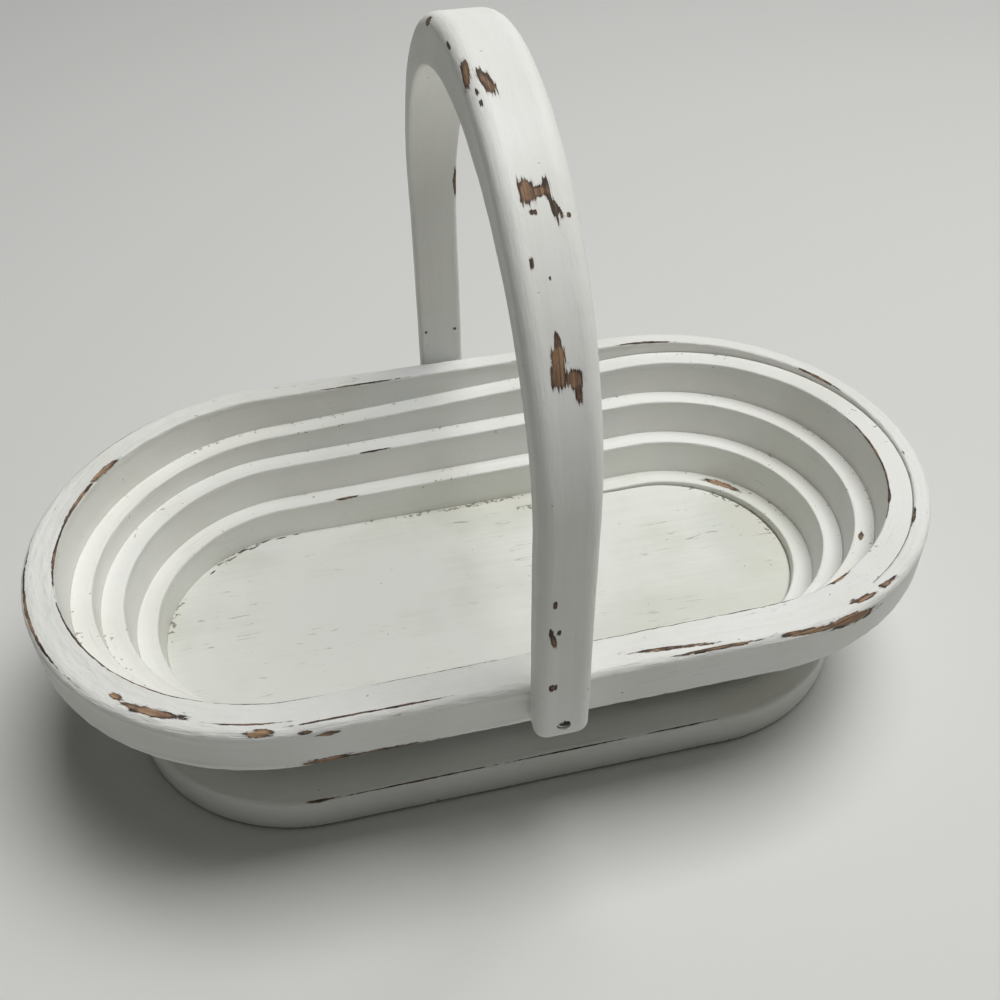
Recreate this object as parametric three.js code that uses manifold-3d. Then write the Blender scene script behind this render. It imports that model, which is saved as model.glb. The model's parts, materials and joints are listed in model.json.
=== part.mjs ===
// Oval wooden basket bowl with a folding arched handle.
// One board is sawn along a bevelled spiral, and the strip between the cuts is drawn down
// into a stepped bowl: a rim, a wall of narrow turns and a flat floor, glued on a foot board.
// Millimetres, +Z up. The origin is the middle of the foot's underside, +X runs along the bowl.

import * as THREE from 'three';
import { mergeVertices } from 'three/addons/utils/BufferGeometryUtils.js';
import Module from 'manifold-3d';

// Sawn board
const LENGTH = 400;          // over the rim
const WIDTH = 218;           // over the rim, without the handle
const BOARD = 23;            // thickness of the board that rim, wall and floor come from
const RIM_ROUND = 3.5;       // rounded outer edges of the rim
const ARRIS = 1.2;           // broken upper edges of rim, wall and floor

// Spiral cut
const KERF = 2;              // width of the saw cut
const STRIP = 8.8;           // width of the strip between two cuts
const RIM_START = 7;         // width of the rim where the cut starts
const CUT_START = -0.1;      // place of that start, in turns from the middle of the +X end
const STRIP_TURNS = 3.32;    // turns of strip between rim and floor
const FIRST_DROP = 19;       // fall of the first turn below the rim
const FIRST_RAMP = 0.6;      // part of that turn along which it falls
const TURN_DROP = 18.2;      // fall of each later turn
const CLEARANCE = 0.3;       // least gap between neighbouring pieces

// Foot board
const FOOT_WIDTH = 164;
const FOOT_THICK = 19;
const FOOT_ROUND = 3;        // rounded upper edge
const FOOT_CHAMFER = 1;      // broken lower edge

// Handle and its pins
const LEG_WIDTH = 21;        // the handle widens from its legs
const GRIP_WIDTH = 25.5;     // to the top of its arch
const LEG_THICK = 11;        // and thickens inwards from its legs
const GRIP_THICK = 19.5;     // to the top of its arch
const HANDLE_SIDE_GAP = 0.75;  // between each leg and the rim
const HANDLE_END_GAP = 2;      // between the folded arch and the end of the rim
const HANDLE_OUTER_ROUND = 4.5;
const HANDLE_INNER_ROUND = 1.6;
const LEG_BELOW_PIN = 8;     // leg length past the pivot
const LEG_END_ROUND = 4;     // rounded edges of the leg's end
const PIN_DIAMETER = 5;
const PIN_SEAT = 7;          // depth of the blind hole in the rim
const PIN_DOME = 0.8;        // height of the pin's domed head
const PIN_SINK = 0.4;        // how far the head lies below the leg's face

// Fineness of the curved faces
const ARC_STEPS = 28;        // along each round end of the bowl
const STRAIGHT_STEPS = 5;    // along each straight side
const ARCH_STEPS = 32;       // along the arch of the handle
const CORNER_STEPS = 3;      // around a rounded edge
const PIN_SIDES = 24;

// Worked-out sizes
const END_RADIUS = WIDTH / 2;
const HALF_STRAIGHT = (LENGTH - WIDTH) / 2;
const PITCH = STRIP + KERF;
const CUT_TURNS = STRIP_TURNS + 1;
const TOTAL_DROP = FIRST_DROP + TURN_DROP * (STRIP_TURNS - 1);
const RIM_TOP = FOOT_THICK + BOARD + TOTAL_DROP;
const BEVEL = (KERF - CLEARANCE) / Math.max(FIRST_DROP, TURN_DROP);  // inward lean of the cut per mm of depth
const PIVOT_Z = RIM_TOP - BOARD / 2;
const ARCH_RADIUS = END_RADIUS + HANDLE_SIDE_GAP;                    // inner face of the legs and their arch
const LEG_ABOVE_PIN = HALF_STRAIGHT + HANDLE_END_GAP - HANDLE_SIDE_GAP;

// One turn around the bowl is measured along the middle of the wall.
const MID_RADIUS = END_RADIUS - RIM_START - PITCH * CUT_TURNS / 2;
const QUARTER = MID_RADIUS * Math.PI / 2;
const TURN_LENGTH = 4 * QUARTER + 4 * HALF_STRAIGHT;
const HALF_GAP_TURN = CLEARANCE / 2 / TURN_LENGTH;

const wasm = await Module();
wasm.setup();

// Point of the oval at a number of turns from the +X end, moved inwards by depth from the rim's face.
function ovalPoint(turns, depth, z) {
  const along = (turns - Math.floor(turns)) * TURN_LENGTH;
  const straight = 2 * HALF_STRAIGHT;
  const farEnd = QUARTER + straight;
  const leftEnd = farEnd + 2 * QUARTER;
  const nearEnd = leftEnd + straight;
  let centre = HALF_STRAIGHT;
  let angle = along / MID_RADIUS;
  if (along > nearEnd) {
    angle = (along - TURN_LENGTH) / MID_RADIUS;
  } else if (along > leftEnd) {
    centre = along - leftEnd - HALF_STRAIGHT;
    angle = -Math.PI / 2;
  } else if (along > farEnd) {
    centre = -HALF_STRAIGHT;
    angle = Math.PI / 2 + (along - farEnd) / MID_RADIUS;
  } else if (along > QUARTER) {
    centre = HALF_STRAIGHT - (along - QUARTER);
    angle = Math.PI / 2;
  }
  const radius = END_RADIUS - depth;
  return new THREE.Vector3(centre + radius * Math.cos(angle), radius * Math.sin(angle), z);
}

// Places around one turn where the oval needs a section, as fractions of the turn.
function turnStops() {
  const stretches = [
    [QUARTER, ARC_STEPS / 2], [2 * HALF_STRAIGHT, STRAIGHT_STEPS], [2 * QUARTER, ARC_STEPS],
    [2 * HALF_STRAIGHT, STRAIGHT_STEPS], [QUARTER, ARC_STEPS / 2],
  ];
  const stops = [];
  let along = 0;
  for (const [length, steps] of stretches) {
    for (let i = 0; i < steps; i++) stops.push((along + length * i / steps) / TURN_LENGTH);
    along += length;
  }
  return stops;
}

// The same places between two points of the cut, counted in turns from the cut's start.
function stopsBetween(first, last) {
  const least = 0.2 * HALF_GAP_TURN;
  const stops = [first];
  for (let turn = Math.floor(first + CUT_START); turn <= last + CUT_START; turn++) {
    for (const stop of turnStops()) {
      const at = turn + stop - CUT_START;
      if (at > first + least && at < last - least) stops.push(at);
    }
  }
  return [...stops, last];
}

const cutDepth = (turns) => RIM_START + KERF / 2 + PITCH * turns;   // middle of the cut, at the board's top

// How far the strip has fallen after a number of turns: one step on a ramp, then evenly.
function stripDrop(turns) {
  if (turns < 1) return FIRST_DROP * THREE.MathUtils.smoothstep(turns, 0, FIRST_RAMP);
  return FIRST_DROP + TURN_DROP * (Math.min(turns, STRIP_TURNS) - 1);
}

// Quarter circle from one direction to the next, as offsets from a corner's centre.
function corner(radius, startAngle) {
  return Array.from({ length: CORNER_STEPS + 1 }, (_, i) => {
    const angle = startAngle + Math.PI / 2 * i / CORNER_STEPS;
    return new THREE.Vector2(radius * Math.cos(angle), radius * Math.sin(angle));
  });
}

// Closed solid from vertices and triangles, with its faces turned outwards.
function solid(vertices, triangles) {
  let volume = 0;
  for (const [a, b, c] of triangles) {
    volume += vertices[a].dot(new THREE.Vector3().crossVectors(vertices[b], vertices[c]));
  }
  const order = volume < 0 ? triangles.map(([a, b, c]) => [a, c, b]) : triangles;
  const geometry = new THREE.BufferGeometry().setFromPoints(vertices);
  geometry.setIndex(order.flat());
  return geometry;
}

// Skin over rings of equally many points; the two ends are closed unless the rings run round.
function loft(rings, { runsRound = false, capFaces = fanFaces } = {}) {
  const count = rings[0].length;
  const triangles = [];
  const spans = runsRound ? rings.length : rings.length - 1;
  for (let i = 0; i < spans; i++) {
    const here = i * count;
    const next = ((i + 1) % rings.length) * count;
    for (let j = 0; j < count; j++) {
      const k = (j + 1) % count;
      triangles.push([here + j, here + k, next + k], [here + j, next + k, next + j]);
    }
  }
  if (!runsRound) {
    const end = (rings.length - 1) * count;
    for (const [a, b, c] of capFaces(rings[0])) triangles.push([a, c, b]);
    for (const [a, b, c] of capFaces(rings.at(-1))) triangles.push([end + a, end + b, end + c]);
  }
  return solid(rings.flat(), triangles);
}

const fanFaces = (ring) => ring.slice(2).map((_, i) => [0, i + 1, i + 2]);

function levelFaces(ring) {
  return THREE.ShapeUtils.triangulateShape(ring.map((p) => new THREE.Vector2(p.x, p.y)), []);
}

function toManifold(geometry) {
  const bare = geometry.clone();
  bare.deleteAttribute('normal');
  bare.deleteAttribute('uv');
  const merged = mergeVertices(bare, 1e-4);
  return new wasm.Manifold(new wasm.Mesh({
    numProp: 3,
    vertProperties: new Float32Array(merged.attributes.position.array),
    triVerts: new Uint32Array(merged.index.array),
  }));
}

function drill(geometry, cutters) {
  let body = toManifold(geometry);
  for (const cutter of cutters) body = body.subtract(toManifold(cutter));
  const mesh = body.getMesh();
  const drilled = new THREE.BufferGeometry();
  drilled.setAttribute('position', new THREE.BufferAttribute(new Float32Array(mesh.vertProperties), 3));
  drilled.setIndex(new THREE.BufferAttribute(new Uint32Array(mesh.triVerts), 1));
  return drilled;
}

// Rod along Y between two places, at the height of the pivot when z is given.
function crossRod(radius, from, to, z = 0) {
  const rod = new THREE.CylinderGeometry(radius, radius, to - from, PIN_SIDES);
  return rod.translate(0, (from + to) / 2, z);
}

// Rim: rounded outside, the first turn of the cut inside, with a step where the strip branches off.
function rimGeometry() {
  const middle = RIM_ROUND;
  const upper = corner(RIM_ROUND, 0).map((p) => [middle - p.x, RIM_TOP - RIM_ROUND + p.y]);
  const lower = corner(RIM_ROUND, -Math.PI / 2).map((p) => [middle - p.x, RIM_TOP - BOARD + RIM_ROUND + p.y]);
  const section = (turns) => {
    const inner = cutDepth(turns) - KERF / 2;
    const profile = [
      ...lower, ...upper,
      [inner - ARRIS, RIM_TOP],
      [inner + BEVEL * ARRIS, RIM_TOP - ARRIS],
      [inner + BEVEL * BOARD, RIM_TOP - BOARD],
    ];
    return profile.map(([depth, z]) => ovalPoint(CUT_START + turns, depth, z));
  };
  const ring = loft(stopsBetween(0, 1 - 2 * HALF_GAP_TURN).map(section), { runsRound: true });
  const hole = PIN_DIAMETER / 2 + CLEARANCE;
  const seat = END_RADIUS - PIN_SEAT - CLEARANCE;
  const outside = END_RADIUS + LEG_THICK;
  return drill(ring, [crossRod(hole, seat, outside, PIVOT_Z), crossRod(hole, -outside, -seat, PIVOT_Z)]);
}

// Wall: one turn of the strip, whose two faces lean like the cut.
function wallTurnGeometry(first, last) {
  const section = (turns) => {
    const top = RIM_TOP - stripDrop(turns);
    const outer = cutDepth(turns) + KERF / 2;
    const inner = outer + STRIP;
    const profile = [
      [outer + BEVEL * BOARD, top - BOARD],
      [outer + BEVEL * ARRIS, top - ARRIS],
      [outer + ARRIS, top],
      [inner - ARRIS, top],
      [inner + BEVEL * ARRIS, top - ARRIS],
      [inner + BEVEL * BOARD, top - BOARD],
    ];
    return profile.map(([depth, z]) => ovalPoint(CUT_START + turns, depth, z));
  };
  return loft(stopsBetween(first + HALF_GAP_TURN, last - HALF_GAP_TURN).map(section));
}

// Floor: what the last turn of the cut leaves in the middle of the board.
function floorGeometry() {
  const top = FOOT_THICK + BOARD;
  const stops = stopsBetween(STRIP_TURNS + HALF_GAP_TURN, CUT_TURNS - HALF_GAP_TURN);
  const outline = (shift, z) => stops.map((turns) =>
    ovalPoint(CUT_START + turns, cutDepth(turns) + KERF / 2 + shift, z));
  return loft([
    outline(BEVEL * BOARD, FOOT_THICK), outline(BEVEL * ARRIS, top - ARRIS), outline(ARRIS, top),
  ], { capFaces: levelFaces });
}

// Foot: an oval board under the floor with a rounded upper edge.
function footGeometry() {
  const inset = (WIDTH - FOOT_WIDTH) / 2;
  const outline = (depth, z) => turnStops().map((turns) => ovalPoint(turns, inset + depth, z));
  const rounded = corner(FOOT_ROUND, 0).map((p) =>
    outline(FOOT_ROUND - p.x, FOOT_THICK - FOOT_ROUND + p.y));
  return loft([outline(FOOT_CHAMFER, 0), outline(0, FOOT_CHAMFER), ...rounded], { capFaces: levelFaces });
}

// Handle: a half oval as wide as the rim, thickest at the top, upright, with its pivot at the origin.
function handleGeometry() {
  const section = (halfWidth, thick) => {
    const outer = thick - HANDLE_OUTER_ROUND;
    const side = halfWidth - HANDLE_OUTER_ROUND;
    const innerSide = halfWidth - HANDLE_INNER_ROUND;
    return [
      ...corner(HANDLE_OUTER_ROUND, 0).map((p) => [side + p.x, outer + p.y]),
      ...corner(HANDLE_OUTER_ROUND, Math.PI / 2).map((p) => [-side + p.x, outer + p.y]),
      ...corner(HANDLE_INNER_ROUND, Math.PI).map((p) => [-innerSide + p.x, HANDLE_INNER_ROUND + p.y]),
      ...corner(HANDLE_INNER_ROUND, -Math.PI / 2).map((p) => [innerSide + p.x, HANDLE_INNER_ROUND + p.y]),
    ];
  };
  const ring = (angle, z, narrower = 0) => {
    const width = LEG_WIDTH + (GRIP_WIDTH - LEG_WIDTH) * Math.sin(angle);
    const inwards = (GRIP_THICK - LEG_THICK) * Math.sin(angle) ** 2;
    return section(width / 2 - narrower, LEG_THICK + inwards - narrower).map(([across, out]) => {
      const radius = ARCH_RADIUS - inwards + out;
      return new THREE.Vector3(across, -radius * Math.cos(angle), z + radius * Math.sin(angle));
    });
  };
  const legEnd = (angle) => corner(LEG_END_ROUND, -Math.PI / 2).map((p) =>
    ring(angle, LEG_END_ROUND - LEG_BELOW_PIN + p.y, LEG_END_ROUND - p.x));
  const arch = Array.from({ length: ARCH_STEPS + 1 }, (_, i) =>
    ring(Math.PI * i / ARCH_STEPS, LEG_ABOVE_PIN));
  const bow = loft([...legEnd(0), ...arch, ...legEnd(Math.PI).reverse()]);
  const reach = ARCH_RADIUS + 2 * LEG_THICK;
  return drill(bow, [crossRod(PIN_DIAMETER / 2 + CLEARANCE, -reach, reach)]);
}

// Pin: a plain rod with a domed head, from the bottom of its hole in the rim to the leg's face.
function pinGeometry() {
  const radius = PIN_DIAMETER / 2;
  const foot = END_RADIUS - PIN_SEAT;
  const head = ARCH_RADIUS + LEG_THICK - PIN_SINK;
  const profile = [
    [0, foot], [radius, foot], [radius, head - PIN_DOME], [radius / 2, head - PIN_DOME / 4], [0, head],
  ];
  return new THREE.LatheGeometry(profile.map(([r, y]) => new THREE.Vector2(r, y)), PIN_SIDES);
}

const paintedWall = { color: 0xe4e4dc, roughness: 0.55, metalness: 0 };
const paintedFloor = { color: 0xe6e4d6, roughness: 0.6, metalness: 0 };
const paintedFoot = { color: 0xd9d9d2, roughness: 0.6, metalness: 0 };
const paintedHandle = { color: 0xe8e8e2, roughness: 0.5, metalness: 0 };
const wornSteel = { color: 0x5b554c, roughness: 0.5, metalness: 0.8 };

function piece(name, geometry, finish) {
  geometry.computeVertexNormals();
  const mesh = new THREE.Mesh(geometry, new THREE.MeshStandardMaterial(finish));
  mesh.name = name;
  return mesh;
}

const basket = new THREE.Group();
basket.add(piece('rim', rimGeometry(), paintedWall));
for (let turn = 1; turn < CUT_TURNS; turn++) {
  const last = Math.min(turn, STRIP_TURNS);
  basket.add(piece(`wall_turn_${turn}`, wallTurnGeometry(turn - 1, last), paintedWall));
}
basket.add(piece('floor_board', floorGeometry(), paintedFloor));
basket.add(piece('foot_board', footGeometry(), paintedFoot));

const swing = new THREE.Group();
swing.position.z = PIVOT_Z;
swing.add(piece('handle', handleGeometry(), paintedHandle));
for (const [name, halfTurn] of [['pivot_pin_near', Math.PI], ['pivot_pin_far', 0]]) {
  const pin = piece(name, pinGeometry(), wornSteel);
  pin.rotation.z = halfTurn;
  swing.add(pin);
}
basket.add(swing);

export default basket;
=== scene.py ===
import json
import math

import bpy
import numpy as np
from mathutils import Matrix, Vector


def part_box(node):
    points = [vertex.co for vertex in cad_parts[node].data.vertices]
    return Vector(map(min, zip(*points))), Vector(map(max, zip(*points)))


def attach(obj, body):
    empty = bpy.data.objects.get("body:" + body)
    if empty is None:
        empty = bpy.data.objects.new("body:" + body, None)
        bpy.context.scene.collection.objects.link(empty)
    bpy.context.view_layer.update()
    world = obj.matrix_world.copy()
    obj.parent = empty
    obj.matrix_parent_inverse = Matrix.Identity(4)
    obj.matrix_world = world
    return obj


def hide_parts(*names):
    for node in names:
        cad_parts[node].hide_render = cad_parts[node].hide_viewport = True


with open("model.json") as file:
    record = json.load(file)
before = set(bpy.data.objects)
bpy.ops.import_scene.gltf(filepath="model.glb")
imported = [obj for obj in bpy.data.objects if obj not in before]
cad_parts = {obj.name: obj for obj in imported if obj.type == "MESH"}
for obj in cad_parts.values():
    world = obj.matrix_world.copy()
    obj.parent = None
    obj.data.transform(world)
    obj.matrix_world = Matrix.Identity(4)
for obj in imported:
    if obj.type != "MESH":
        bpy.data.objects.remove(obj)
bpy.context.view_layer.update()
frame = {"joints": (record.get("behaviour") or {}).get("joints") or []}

# Main sizes, read off the frame, in metres
mm = 0.001
rimLow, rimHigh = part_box("rim")
footLow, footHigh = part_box("foot_board")
handleLow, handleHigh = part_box("handle")
board = rimHigh.z - rimLow.z                     # thickness of the sawn board
rimTop = rimHigh.z
rimUnder = rimTop - board
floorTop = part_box("floor_board")[1].z
endRadius = (rimHigh.y - rimLow.y) / 2           # round ends of the rim
halfStraight = (rimHigh.x - rimLow.x) / 2 - endRadius
pivotHeight = frame["joints"][0]["pos_m"][2]

sawCut = {                  # the spiral cut that turns a flat board into a stepped bowl
    "kerf": 2.0 * mm,
    "strip": 8.8 * mm,      # width of the strip between two cuts
    "rimStart": 7.0 * mm,   # width of the rim where the cut starts
    "start": -0.1,          # place of that start, in turns from the middle of the +X end
    "turns": 3.32,          # turns of strip between rim and floor
    "firstDrop": 19.0 * mm,
    "firstRamp": 0.6,       # part of the first turn along which it falls
    "clearance": 0.3 * mm,
    "hairline": 0.5 * mm,   # what shows of the cut near its two ends; paint fills the rest
    "showsFor": 0.3,        # turns from each end until the hairline is filled
    "opensIn": 0.05,        # turns along which the hairline opens
    "closesIn": 0.1,        # and along which it closes again
}
pitch = sawCut["strip"] + sawCut["kerf"]
stripOuter = sawCut["rimStart"] + sawCut["kerf"]
stripInner = stripOuter + sawCut["strip"]
cutEnd = sawCut["turns"] + 1
turnDrop = (rimTop - floorTop - sawCut["firstDrop"]) / (sawCut["turns"] - 1)
bevel = (sawCut["kerf"] - sawCut["clearance"]) / max(sawCut["firstDrop"], turnDrop)
lean = bevel * board                             # of the cut, from the top of the board to its underside
midRadius = endRadius - sawCut["rimStart"] - pitch * cutEnd / 2
quarter = midRadius * math.pi / 2
turnLength = 4 * quarter + 4 * halfStraight
woundSizes = {
    "End radius": endRadius, "Half straight": halfStraight, "Mid radius": midRadius,
    "Cut start": sawCut["start"], "Pitch": pitch, "First drop": sawCut["firstDrop"],
    "First ramp": sawCut["firstRamp"], "Turn drop": turnDrop, "Strip turns": sawCut["turns"],
}

handwork = {
    "lumpScale": 28.0, "nickScale": 170.0, "detail": 2.0,   # unevenness, per metre
    "weld": 0.01 * mm,
    "sharpFrom": 40,                                        # degrees between faces
    "arcPoints": 7,                                         # on each rounded corner
}


class Wire:  # a socket of a node tree, so that node maths reads as Python
    def __init__(self, tree, socket=None):
        self.tree = tree
        self.socket = socket

    def node(self, kind, settings=None, sockets=None, out=0):
        made = self.tree.nodes.new(kind)
        for name, value in (settings or {}).items():
            if name == "stops":
                setStops(made.color_ramp, value)
            else:
                setattr(made, name, value)
        for name, value in (sockets or {}).items():
            target = pickSocket(made.inputs, name)
            if isinstance(value, Wire):
                self.tree.links.new(value.socket, target)
            else:
                target.default_value = value
        return Wire(self.tree, pickSocket(made.outputs, out) if len(made.outputs) else None)

    def math(self, operation, *values):
        return self.node("ShaderNodeMath", {"operation": operation}, dict(enumerate(values)))

    def __add__(self, other):
        return self.math("ADD", self, other)

    def __radd__(self, other):
        return self.math("ADD", other, self)

    def __sub__(self, other):
        return self.math("SUBTRACT", self, other)

    def __rsub__(self, other):
        return self.math("SUBTRACT", other, self)

    def __mul__(self, other):
        return self.math("MULTIPLY", self, other)

    def __rmul__(self, other):
        return self.math("MULTIPLY", other, self)

    def __truediv__(self, other):
        return self.math("DIVIDE", self, other)

    def __rtruediv__(self, other):
        return self.math("DIVIDE", other, self)

    def atLeast(self, low):
        return self.math("MAXIMUM", self, low)

    def atMost(self, high):
        return self.math("MINIMUM", self, high)

    def smooth(self, low, high):  # 0 below low, 1 above high
        return self.node("ShaderNodeMapRange", {"interpolation_type": "SMOOTHSTEP"},
                         {"Value": self, "From Min": low, "From Max": high})


def pickSocket(sockets, key):
    if isinstance(key, int):
        return sockets[key]
    exact = [s for s in sockets if s.identifier == key]
    return (exact or [s for s in sockets if s.name == key and s.enabled])[0]


def setStops(ramp, stops):
    while len(ramp.elements) < len(stops):
        ramp.elements.new(0.5)
    for element, (place, colour) in zip(ramp.elements, stops):
        element.position = place
        element.color = colour


def srgb(red, green, blue):  # 0-255 as seen, to the linear colour that nodes take
    def linear(value):
        share = value / 255
        return share / 12.92 if share <= 0.04045 else ((share + 0.055) / 1.055) ** 2.4
    return (linear(red), linear(green), linear(blue), 1.0)


def newObject(name, data):
    made = bpy.data.objects.new(name, data)
    bpy.context.scene.collection.objects.link(made)
    return made


# Geometry trees: a straight bar goes in, a bent piece comes out

def newTree(name, sizes):
    tree = bpy.data.node_groups.new(name, "GeometryNodeTree")
    tree.interface.new_socket("Piece", in_out="OUTPUT", socket_type="NodeSocketGeometry")
    tree.interface.new_socket("Bar", in_out="INPUT", socket_type="NodeSocketGeometry")
    for size in sizes:
        tree.interface.new_socket(size, in_out="INPUT", socket_type="NodeSocketFloat")
    tree.interface.new_socket("Finish", in_out="INPUT", socket_type="NodeSocketMaterial")
    given = tree.nodes.new("NodeGroupInput")
    return Wire(tree), {socket.name: Wire(tree, socket) for socket in given.outputs if socket.name}


def barPlace(wire):
    place = wire.node("GeometryNodeInputPosition")
    return [wire.node("ShaderNodeSeparateXYZ", sockets={"Vector": place}, out=axis) for axis in "XYZ"]


def barValue(wire, name):
    return wire.node("GeometryNodeInputNamedAttribute", {"data_type": "FLOAT"}, {"Name": name}, "Attribute")


# Moves the bar's points, adds the unevenness of handwork and closes the tree
def closeTree(wire, given, position):
    moved = wire.node("GeometryNodeSetPosition", sockets={"Geometry": given["Bar"], "Position": position})
    welded = wire.node("GeometryNodeMergeByDistance", sockets={
        "Geometry": moved, "Distance": handwork["weld"]})
    place = wire.node("GeometryNodeInputPosition")
    lumps, nicks = (wire.node("ShaderNodeTexNoise", sockets={
        "Vector": place, "Scale": handwork[key], "Detail": handwork["detail"]})
        for key in ("lumpScale", "nickScale"))
    push = wire.node("ShaderNodeVectorMath", {"operation": "SCALE"}, {
        "Vector": wire.node("GeometryNodeInputNormal"),
        "Scale": (lumps - 0.5) * given["Unevenness"]
        + (nicks - 0.5) * barValue(wire, "edge") * given["Nicks"]})
    uneven = wire.node("GeometryNodeSetPosition", sockets={"Geometry": welded, "Offset": push})
    whole = wire.node("GeometryNodeRealizeInstances", sockets={"Geometry": uneven})
    done = wire.node("GeometryNodeSetMaterial", sockets={"Geometry": whole, "Material": given["Finish"]})
    wire.node("NodeGroupOutput", sockets={"Piece": done})
    return wire.tree


# Winds a bar along the spiral: x is its place in turns, y its depth behind the rim's face, z its height
def windTree():
    wire, given = newTree("windBoard", [*woundSizes, "Unevenness", "Nicks"])
    turns, depth, height = barPlace(wire)
    follow, fall = barValue(wire, "follow"), barValue(wire, "fall")
    straight = 2 * given["Half straight"]
    arc = given["Mid radius"] * (math.pi / 2)
    fromEnd = turns + given["Cut start"]
    along = fromEnd.math("FRACT", fromEnd) * (4 * arc + 2 * straight)
    farSide = (along - arc).atLeast(0).atMost(straight)
    nearSide = (along - 3 * arc - straight).atLeast(0).atMost(straight)
    angle = (along - farSide - nearSide) / given["Mid radius"]
    radius = given["End radius"] - depth - follow * given["Pitch"] * turns
    first = given["First drop"] * (turns / given["First ramp"]).smooth(0, 1)
    later = given["Turn drop"] * (turns - 1).atLeast(0).atMost(given["Strip turns"] - 1)
    position = wire.node("ShaderNodeCombineXYZ", sockets={
        "X": given["Half straight"] - farSide + nearSide + radius * angle.math("COSINE", angle),
        "Y": radius * angle.math("SINE", angle),
        "Z": height - fall * (first + later)})
    return closeTree(wire, given, position)


# Bends a bar to a bow: x is across it, y its height above the inner face, z its place along the bow.
# Towards the top the bow swells sideways, and its inner face moves inwards while its roundings stay.
def bendTree():
    wire, given = newTree("bendBow", ["Arch radius", "Thickness", "Inner round", "Outer round", "Leg",
                                      "Leg end height", "Swell", "Thicken", "Unevenness", "Nicks"])
    across, out, along = barPlace(wire)
    middle = given["Arch radius"] + given["Thickness"] / 2
    angle = ((along - given["Leg"]) / middle).atLeast(0).atMost(math.pi)
    rise = along.atMost(given["Leg"]) - (along - given["Leg"] - math.pi * middle).atLeast(0)
    sine = angle.math("SINE", angle)
    side = given["Thickness"] - given["Outer round"] - given["Inner round"]
    inner = ((given["Thickness"] - given["Outer round"] - out) / side).atLeast(0).atMost(1)
    radius = given["Arch radius"] + out - inner * given["Thicken"] * sine * sine
    position = wire.node("ShaderNodeCombineXYZ", sockets={
        "X": across * (1 + given["Swell"] * sine),
        "Y": -1 * (radius * angle.math("COSINE", angle)),
        "Z": given["Leg end height"] + rise + radius * sine})
    return closeTree(wire, given, position)


def throughTree(name, mesh, tree, inputs):
    piece = newObject(name, mesh)
    modifier = piece.modifiers.new("bend", "NODES")
    modifier.node_group = tree
    for item in tree.interface.items_tree:
        if item.in_out == "INPUT" and item.name in inputs:
            modifier[item.identifier] = inputs[item.name]
    return applied(piece)


# Turns a piece with modifiers into a plain mesh whose faces point outwards
def applied(piece):
    graph = bpy.context.evaluated_depsgraph_get()
    mesh = bpy.data.meshes.new_from_object(piece.evaluated_get(graph), preserve_all_data_layers=True,
                                           depsgraph=graph)
    piece.modifiers.clear()
    piece.data = mesh
    mesh.name = piece.name
    corners = np.empty(len(mesh.vertices) * 3)
    mesh.vertices.foreach_get("co", corners)
    mesh.calc_loop_triangles()
    triangles = np.empty(len(mesh.loop_triangles) * 3, int)
    mesh.loop_triangles.foreach_get("vertices", triangles)
    a, b, c = corners.reshape(-1, 3)[triangles.reshape(-1, 3)].transpose(1, 0, 2)
    if np.einsum("ij,ij->i", a, np.cross(b, c)).sum() < 0:  # the volume is negative: inside out
        mesh.flip_normals()
    mesh.shade_smooth()
    mesh.set_sharp_from_angle(angle=math.radians(handwork["sharpFrom"]))
    print(f"{piece.name}: {len(triangles) // 3} triangles")
    return piece


# Bars: an outline across, repeated along

# The grime and shade share marks dirt specks in corners. On the foot's bottom edge it also marks a dark line
# that is partly painted contact shadow.
# Outline through corners, rounded where a rounding is given, with the index of each corner's middle.
# A corner is (across, up, rounding, follow, worn, grime and shade); wear, grime and shade fade out beside it.
# Steps gives the spacing of points on the run after each corner.
def roundedOutline(corners, steps, isOpen=False, fadeLength=2.2 * mm):
    rows, middles, spacing = [], [], []
    count, arcPoints = len(corners), handwork["arcPoints"]
    for i, (across, up, rounding, *shares) in enumerate(corners):
        middles.append(len(rows) + (arcPoints // 2 if rounding else 0))
        if not rounding:
            rows.append((across, up, *shares))
            spacing.append(steps[i])
            continue
        here = np.array((across, up))
        before = np.array(corners[i - 1][:2]) - here
        after = np.array(corners[(i + 1) % count][:2]) - here
        before /= np.linalg.norm(before)
        after /= np.linalg.norm(after)
        half = math.acos(before @ after) / 2
        centre = here + (before + after) / np.linalg.norm(before + after) * rounding / math.sin(half)
        first = here + before * rounding / math.tan(half) - centre
        last = here + after * rounding / math.tan(half) - centre
        turn = math.pi - 2 * half
        for share in np.linspace(0, 1, arcPoints):
            arm = (math.sin((1 - share) * turn) * first + math.sin(share * turn) * last) / math.sin(turn)
            rows.append((*(centre + arm), *shares))
            spacing.append(steps[i])
    full, starts = [], []
    for here, after, step in zip(rows, rows[1:] + ([] if isOpen else rows[:1]), spacing):
        starts.append(len(full))
        run = math.hypot(after[0] - here[0], after[1] - here[1])
        parts = max(1, math.ceil(run / step))
        for share in np.arange(parts) / parts:
            mixed = [p + (q - p) * share for p, q in zip(here, after)]
            if share:
                nearer = here if share < 0.5 else after
                fade = math.exp(-(min(share, 1 - share) * run / fadeLength) ** 2)
                mixed[3:] = [value * fade for value in nearer[3:]]
            full.append(mixed)
    if isOpen:
        starts.append(len(full))
        full.append(list(rows[-1]))
    return np.array(full), [starts[row] for row in middles]


def curvePoint(turns, depth):  # the wind tree's rule in Python, for lengths along a bar
    along = (turns - np.floor(turns)) * turnLength
    farSide = np.clip(along - quarter, 0, 2 * halfStraight)
    nearSide = np.clip(along - 3 * quarter - 2 * halfStraight, 0, 2 * halfStraight)
    angle = (along - farSide - nearSide) / midRadius
    radius = endRadius - depth
    return np.stack([halfStraight - farSide + nearSide + radius * np.cos(angle), radius * np.sin(angle)], -1)


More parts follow.
